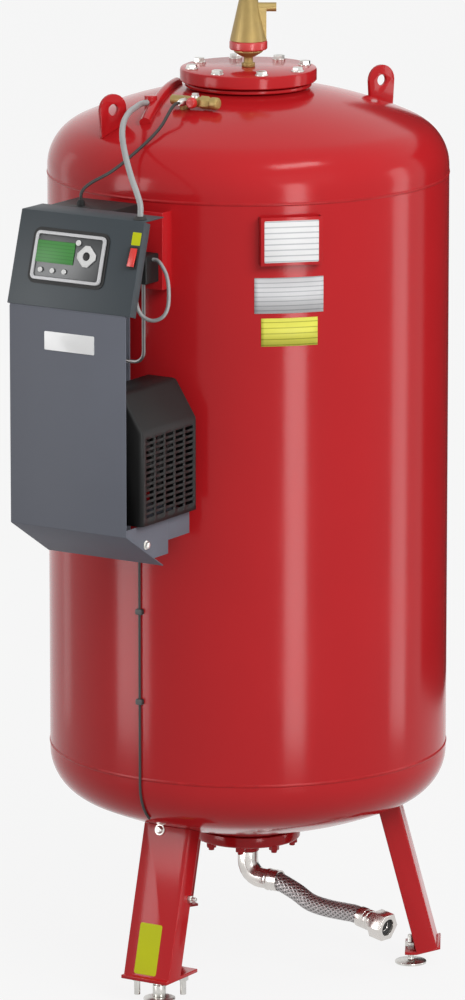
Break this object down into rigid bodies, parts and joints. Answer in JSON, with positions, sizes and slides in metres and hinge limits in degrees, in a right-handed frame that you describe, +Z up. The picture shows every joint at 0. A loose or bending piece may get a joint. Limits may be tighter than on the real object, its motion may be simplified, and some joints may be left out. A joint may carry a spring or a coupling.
{
  "type": "expansion vessel",
  "caption": "Tall floor-standing pressurised expansion vessel on splayed legs, with a front compressor and control unit, float vent, lifting eyes and a flexible water hose.",
  "frame": {"origin": "on the floor, under the middle of the object's box", "axes": "+Z up along the vessel, -Y towards the control unit's front, +X to the right seen from the front"},
  "size_m": [0.75, 0.995, 1.8703],
  "materials": {
    "vessel_red": "gloss",
    "panel_grey": "satin",
    "cover_grey": "satin",
    "black_plastic": "moulded",
    "black_rubber": "matt",
    "silver_trim": "satin",
    "zinc_steel": "plated",
    "brass": "machined",
    "green_screen": "clear over green",
    "key_white": "moulded",
    "signal_red": "moulded",
    "hose_grey": "smooth",
    "steel_braid": "braided"
  },
  "bodies": {
    "vessel": {"shell_cylinder": "vessel_red", "upper_head": "vessel_red", "lower_head": "vessel_red", "top_neck": "vessel_red", "lid": "vessel_red", "bottom_neck": "vessel_red", "water_cover": "vessel_red", "bladder": "black_rubber", "lifting_lug_front": "vessel_red", "lifting_lug_rear": "vessel_red", "leg_front": "vessel_red", "leg_rear_left": "vessel_red", "leg_rear_right": "vessel_red", "load_cell": "zinc_steel", "load_cell_foot": "zinc_steel", "load_cell_lead": "black_rubber", "nameplate_bracket": "vessel_red", "unit_bracket": "vessel_red", "unit_spine": "panel_grey", "compressor_shelf": "panel_grey", "front_panel": "panel_grey", "upper_cover": "cover_grey", "control_box": "black_plastic", "roof_grommet": "black_rubber", "display_bezel": "silver_trim", "display_face": "black_plastic", "display_screen": "green_screen", "switch_frame": "black_plastic", "compressor_motor": "black_plastic", "pump_head": "silver_trim", "compressor_hood": "black_plastic", "solenoid_valve": "black_plastic", "delivery_pipe": "zinc_steel", "air_inlet": "vessel_red", "air_branch": "brass", "pressure_sensor": "zinc_steel", "safety_valve_body": "brass", "vent_base": "brass", "vent_collar": "signal_red", "vent_body": "brass", "water_elbow": "zinc_steel", "hose_tail": "zinc_steel", "water_hose": "steel_braid", "air_hose": "hose_grey", "sensor_cable": "black_rubber", "loop_hose": "hose_grey"},
    "left_key": {"soft_key_1": "key_white"},
    "middle_key": {"soft_key_2": "key_white"},
    "right_key": {"soft_key_3": "key_white"},
    "menu_button": {"menu_key": "key_white"},
    "navigation_pad": {"navigation_ring": "key_white"},
    "enter_button": {"enter_key": "black_plastic"},
    "main_switch": {"main_switch_rocker": "signal_red"},
    "fan": {"cooling_fan": "black_plastic"},
    "air_shut_off": {"shut_off_knob": "signal_red"},
    "safety_cap": {"safety_valve_cap": "brass"},
    "float": {"vent_float": "key_white"},
    "left_foot": {"levelling_foot_rear_left": "zinc_steel"},
    "right_foot": {"levelling_foot_rear_right": "zinc_steel"},
    "hose_nut": {"union_nut": "zinc_steel"}
  },
  "joints": [
    {"name": "left_key_press", "type": "slide", "parent": "vessel", "child": "left_key", "axis": [0, 0.9563, -0.2924], "range_m": [0, 0.0008], "stiffness_N_per_m": 600},
    {"name": "middle_key_press", "type": "slide", "parent": "vessel", "child": "middle_key", "axis": [0, 0.9563, -0.2924], "range_m": [0, 0.0008], "stiffness_N_per_m": 600},
    {"name": "right_key_press", "type": "slide", "parent": "vessel", "child": "right_key", "axis": [0, 0.9563, -0.2924], "range_m": [0, 0.0008], "stiffness_N_per_m": 600},
    {"name": "menu_key_press", "type": "slide", "parent": "vessel", "child": "menu_button", "axis": [0, 0.9563, -0.2924], "range_m": [0, 0.0008], "stiffness_N_per_m": 600},
    {"name": "navigation_press", "type": "slide", "parent": "vessel", "child": "navigation_pad", "axis": [0, 0.9563, -0.2924], "range_m": [0, 0.0008], "stiffness_N_per_m": 900},
    {"name": "enter_press", "type": "slide", "parent": "vessel", "child": "enter_button", "axis": [0, 0.9563, -0.2924], "range_m": [0, 0.0008], "stiffness_N_per_m": 600},
    {"name": "main_switch_rock", "type": "hinge", "parent": "vessel", "child": "main_switch", "pos_m": [0.1255, -0.47076, 1.46869], "axis": [1, 0, 0], "range_deg": [0, 16]},
    {"name": "fan_spin", "type": "hinge", "parent": "vessel", "child": "fan", "pos_m": [0.106, -0.3728, 1.0743], "axis": [1, 0, 0], "continuous": true},
    {"name": "air_shut_off_turn", "type": "hinge", "parent": "vessel", "child": "air_shut_off", "pos_m": [0.0065, -0.0773, 1.68564], "axis": [0, -1, 0], "range_deg": [0, 90]},
    {"name": "safety_cap_turn", "type": "hinge", "parent": "vessel", "child": "safety_cap", "pos_m": [0.0396, -0.0675, 1.68564], "axis": [1, 0, 0], "range_deg": [0, 90]},
    {"name": "float_rise", "type": "slide", "parent": "vessel", "child": "float", "axis": [0, 0, 1], "range_m": [0, 0.02]},
    {"name": "left_foot_turn", "type": "hinge", "parent": "vessel", "child": "left_foot", "pos_m": [-0.26926, 0.27796, 0], "axis": [0, 0, 1], "continuous": true},
    {"name": "right_foot_turn", "type": "hinge", "parent": "vessel", "child": "right_foot", "pos_m": [0.26926, 0.27796, 0], "axis": [0, 0, 1], "continuous": true},
    {"name": "union_nut_spin", "type": "hinge", "parent": "vessel", "child": "hose_nut", "pos_m": [0.30414, 0.11151, 0.1179], "axis": [0.9782, -0.1311, -0.1613], "continuous": true}
  ]
}
